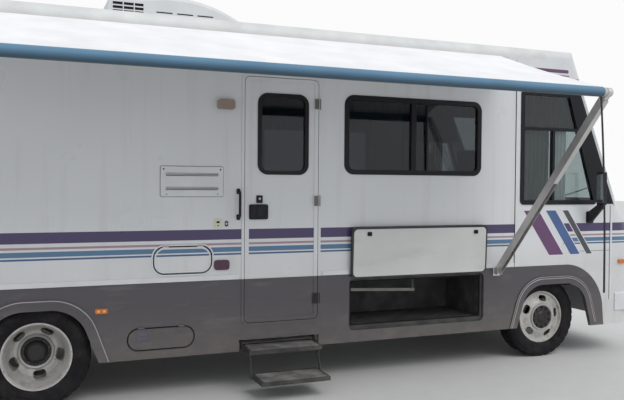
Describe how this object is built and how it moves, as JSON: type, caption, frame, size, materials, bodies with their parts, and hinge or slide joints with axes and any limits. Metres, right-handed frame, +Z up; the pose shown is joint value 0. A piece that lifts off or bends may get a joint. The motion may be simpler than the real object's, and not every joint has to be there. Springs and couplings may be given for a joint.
{
  "type": "motorhome",
  "caption": "Flat-nosed motorhome with an awning rolled out on arms, opening door and lids, folding entry steps, steering and turning wheels.",
  "frame": {"origin": "on the ground, on the centre line, under the rear axle", "axes": "+X forward, +Y to the vehicle's left, +Z up"},
  "size_m": [9.385, 4.055, 3.4574],
  "materials": {
    "body_white": "off-white fibreglass gel coat with stripes",
    "roof_white": "white roof membrane and mouldings",
    "skirt_grey": "dark charcoal paint",
    "bumper_white": "white painted steel",
    "floor_board": "sealed board",
    "frame_black": "black anodised frame",
    "tinted_glass": "dark tinted glass",
    "trim_aluminium": "satin aluminium",
    "compartment_sheet": "dark sheet",
    "chassis_black": "black chassis paint",
    "engine_iron": "cast iron block",
    "tank_black": "moulded tank",
    "axle_steel": "painted forging",
    "awning_aluminium": "brownish anodised aluminium",
    "roller_blue": "blue fabric rolled on a tube",
    "awning_cloth": "white coated awning cloth",
    "webbing_black": "black webbing",
    "amber_lens": "amber lens",
    "red_lens": "red lens",
    "headlamp_glass": "clear lamp glass",
    "cab_plastic": "grained cab plastic",
    "seat_fabric": "woven seat fabric",
    "curtain_fabric": "curtain fabric",
    "step_steel": "black painted steel",
    "tyre_black": "road tyre",
    "wheel_silver": "silver painted steel wheel"
  },
  "bodies": {
    "root": {"floor": "floor_board", "side_wall_right": "body_white", "side_wall_left": "body_white", "rear_wall": "body_white", "roof": "roof_white", "front_cap": "body_white", "cab_sides": "body_white", "skirt_right": "skirt_grey", "skirt_left": "skirt_grey", "window_frames": "frame_black", "window_glass": "tinted_glass", "entry_door_frame": "trim_aluminium", "compartments": "compartment_sheet", "chassis_frame": "chassis_black", "engine": "engine_iron", "fuel_tank": "tank_black", "rear_axle": "axle_steel", "front_axle": "axle_steel", "front_bumper": "bumper_white", "rear_bumper": "bumper_white", "air_conditioner": "roof_white", "roof_vents": "roof_white", "awning_frame": "awning_aluminium", "awning_roller": "roller_blue", "awning_fabric": "awning_cloth", "awning_strap": "webbing_black", "mirrors": "frame_black", "grab_handle": "frame_black", "fridge_vent": "body_white", "amber_lamps": "amber_lens", "red_lamps": "red_lens", "headlamps": "headlamp_glass", "dashboard": "cab_plastic", "cab_seats": "seat_fabric", "curtains": "curtain_fabric", "rear_ladder": "trim_aluminium", "step_frame": "step_steel"},
    "entry_door": {"entry_door": "body_white", "entry_door_window": "frame_black", "entry_door_glass": "tinted_glass"},
    "storage_lid_right": {"storage_lid_right": "body_white"},
    "storage_lid_left": {"storage_lid_left": "skirt_grey"},
    "service_hatch": {"service_hatch": "body_white"},
    "utility_hatch": {"utility_hatch": "skirt_grey"},
    "step_arms": {"step_arms": "step_steel"},
    "step_upper_tread": {"step_upper_tread": "step_steel"},
    "step_links": {"step_links": "step_steel"},
    "step_lower_tread": {"step_lower_tread": "step_steel"},
    "knuckle_right": {"knuckle_right": "axle_steel"},
    "knuckle_left": {"knuckle_left": "axle_steel"},
    "steering_wheel": {"steering_wheel": "cab_plastic"},
    "wheel_front_right": {"tyre_front_right": "tyre_black", "rim_front_right": "wheel_silver"},
    "wheel_front_left": {"tyre_front_left": "tyre_black", "rim_front_left": "wheel_silver"},
    "wheels_rear_right": {"tyres_rear_right": "tyre_black", "rims_rear_right": "wheel_silver"},
    "wheels_rear_left": {"tyres_rear_left": "tyre_black", "rims_rear_left": "wheel_silver"}
  },
  "joints": [
    {"name": "entry_door_hinge", "type": "hinge", "parent": "root", "child": "entry_door", "pos_m": [2.31, -1.23, 1.6], "axis": [0, 0, 1], "range_deg": [0, 105]},
    {"name": "storage_lid_right_hinge", "type": "hinge", "parent": "root", "child": "storage_lid_right", "pos_m": [3.3235, -1.222, 0.906], "axis": [1, 0, 0], "range_deg": [0, 178]},
    {"name": "storage_lid_left_hinge", "type": "hinge", "parent": "root", "child": "storage_lid_left", "pos_m": [3.3235, 1.222, 0.906], "axis": [1, 0, 0], "range_deg": [0, 178]},
    {"name": "service_hatch_hinge", "type": "hinge", "parent": "root", "child": "service_hatch", "pos_m": [1.1135, -1.222, 1.235], "axis": [-1, 0, 0], "range_deg": [0, 110]},
    {"name": "utility_hatch_hinge", "type": "hinge", "parent": "root", "child": "utility_hatch", "pos_m": [0.94, -1.222, 0.585], "axis": [-1, 0, 0], "range_deg": [0, 110]},
    {"name": "step_fold", "type": "hinge", "parent": "root", "child": "step_arms", "pos_m": [1.9525, -1.06, 0.455], "axis": [1, 0, 0], "range_deg": [0, 120]},
    {"name": "step_upper_level", "type": "hinge", "parent": "step_arms", "child": "step_upper_tread", "pos_m": [1.9525, -1.25, 0.35], "axis": [1, 0, 0], "range_deg": [-120, 0]},
    {"name": "step_link_fold", "type": "hinge", "parent": "step_upper_tread", "child": "step_links", "pos_m": [1.9525, -1.33, 0.34], "axis": [1, 0, 0], "range_deg": [0, 95]},
    {"name": "step_lower_level", "type": "hinge", "parent": "step_links", "child": "step_lower_tread", "pos_m": [1.9525, -1.4, 0.15], "axis": [1, 0, 0], "range_deg": [-95, 0]},
    {"name": "steer_left", "type": "hinge", "parent": "root", "child": "knuckle_left", "pos_m": [4.826, 0.86, 0.405], "axis": [0, 0, 1], "range_deg": [-32, 32]},
    {"name": "steer_right", "type": "hinge", "parent": "root", "child": "knuckle_right", "pos_m": [4.826, -0.86, 0.405], "axis": [0, 0, 1], "range_deg": [-32, 32]},
    {"name": "steering_wheel_turn", "type": "hinge", "parent": "root", "child": "steering_wheel", "pos_m": [5.13, 0.52, 1.64], "axis": [-0.6691, 0, 0.7431], "range_deg": [-448, 448]},
    {"name": "wheel_front_left_spin", "type": "hinge", "parent": "knuckle_left", "child": "wheel_front_left", "pos_m": [4.826, 1.012, 0.405], "axis": [0, 1, 0], "continuous": true},
    {"name": "wheel_front_right_spin", "type": "hinge", "parent": "knuckle_right", "child": "wheel_front_right", "pos_m": [4.826, -1.012, 0.405], "axis": [0, 1, 0], "continuous": true},
    {"name": "wheels_rear_left_spin", "type": "hinge", "parent": "root", "child": "wheels_rear_left", "pos_m": [0, 0.933, 0.405], "axis": [0, 1, 0], "continuous": true},
    {"name": "wheels_rear_right_spin", "type": "hinge", "parent": "root", "child": "wheels_rear_right", "pos_m": [0, -0.933, 0.405], "axis": [0, 1, 0], "continuous": true}
  ],
  "couplings": [
    {"joint": "step_upper_level", "follows": "step_fold", "ratio": -1},
    {"joint": "step_link_fold", "follows": "step_fold", "ratio": 0.79},
    {"joint": "step_lower_level", "follows": "step_fold", "ratio": -0.79},
    {"joint": "steer_right", "follows": "steer_left", "ratio": 1},
    {"joint": "steering_wheel_turn", "follows": "steer_left", "ratio": 14}
  ]
}
